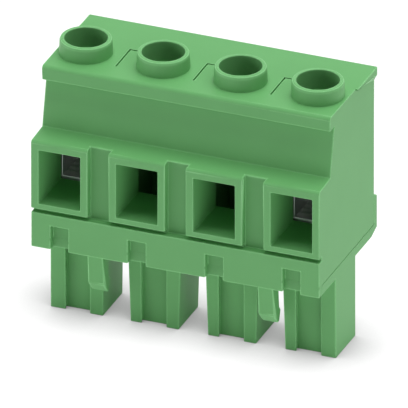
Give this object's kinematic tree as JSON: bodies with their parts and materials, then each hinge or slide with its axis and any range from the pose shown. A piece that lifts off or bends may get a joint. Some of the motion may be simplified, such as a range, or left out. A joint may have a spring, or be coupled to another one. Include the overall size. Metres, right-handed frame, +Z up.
{
  "type": "pluggable terminal block",
  "caption": "Plug-in screw terminal block: square wire funnels, raised screw collars and hollow contact prongs in a row, with screw-lifted wire clamps inside.",
  "frame": {"origin": "under the middle of the block, in the plane of the prong tips", "axes": "+X along the row, -Y out of the wire funnels, +Z up through the screw collars"},
  "size_m": [0.0382, 0.0194, 0.0362],
  "materials": {
    "housing_plastic": "satin moulded polyamide",
    "screw_steel": "zinc plated, turned",
    "sleeve_steel": "zinc plated, bent",
    "contact_metal": "tin plated copper alloy, stamped",
    "spring_steel": "bare spring steel, bent"
  },
  "bodies": {
    "housing": {"upper_housing": "housing_plastic", "plug_base": "housing_plastic", "contact_1": "contact_metal", "contact_2": "contact_metal", "contact_3": "contact_metal", "contact_4": "contact_metal", "contact_spring_1": "spring_steel", "contact_spring_2": "spring_steel", "contact_spring_3": "spring_steel", "contact_spring_4": "spring_steel"},
    "screw_1": {"clamp_screw_1": "screw_steel"},
    "sleeve_1": {"tension_sleeve_1": "sleeve_steel"},
    "screw_2": {"clamp_screw_2": "screw_steel"},
    "sleeve_2": {"tension_sleeve_2": "sleeve_steel"},
    "screw_3": {"clamp_screw_3": "screw_steel"},
    "sleeve_3": {"tension_sleeve_3": "sleeve_steel"},
    "screw_4": {"clamp_screw_4": "screw_steel"},
    "sleeve_4": {"tension_sleeve_4": "sleeve_steel"}
  },
  "joints": [
    {"name": "screw_turn_1", "type": "hinge", "parent": "housing", "child": "screw_1", "pos_m": [-0.01542, -0.0007, 0.03115], "axis": [0, 0, 1], "range_deg": [-2160, 0]},
    {"name": "sleeve_lift_1", "type": "slide", "parent": "housing", "child": "sleeve_1", "axis": [0, 0, 1], "range_m": [0, 0.0042]},
    {"name": "screw_turn_2", "type": "hinge", "parent": "housing", "child": "screw_2", "pos_m": [-0.00526, -0.0007, 0.03115], "axis": [0, 0, 1], "range_deg": [0, 2160]},
    {"name": "sleeve_lift_2", "type": "slide", "parent": "housing", "child": "sleeve_2", "axis": [0, 0, 1], "range_m": [-0.0042, 0]},
    {"name": "screw_turn_3", "type": "hinge", "parent": "housing", "child": "screw_3", "pos_m": [0.0049, -0.0007, 0.03115], "axis": [0, 0, 1], "range_deg": [0, 2160]},
    {"name": "sleeve_lift_3", "type": "slide", "parent": "housing", "child": "sleeve_3", "axis": [0, 0, 1], "range_m": [-0.0042, 0]},
    {"name": "screw_turn_4", "type": "hinge", "parent": "housing", "child": "screw_4", "pos_m": [0.01506, -0.0007, 0.03115], "axis": [0, 0, 1], "range_deg": [-2160, 0]},
    {"name": "sleeve_lift_4", "type": "slide", "parent": "housing", "child": "sleeve_4", "axis": [0, 0, 1], "range_m": [0, 0.0042]}
  ],
  "couplings": [
    {"joint": "screw_turn_1", "follows": "sleeve_lift_1", "rad_per_m": -8975.9},
    {"joint": "screw_turn_2", "follows": "sleeve_lift_2", "rad_per_m": -8975.9},
    {"joint": "screw_turn_3", "follows": "sleeve_lift_3", "rad_per_m": -8975.9},
    {"joint": "screw_turn_4", "follows": "sleeve_lift_4", "rad_per_m": -8975.9}
  ]
}
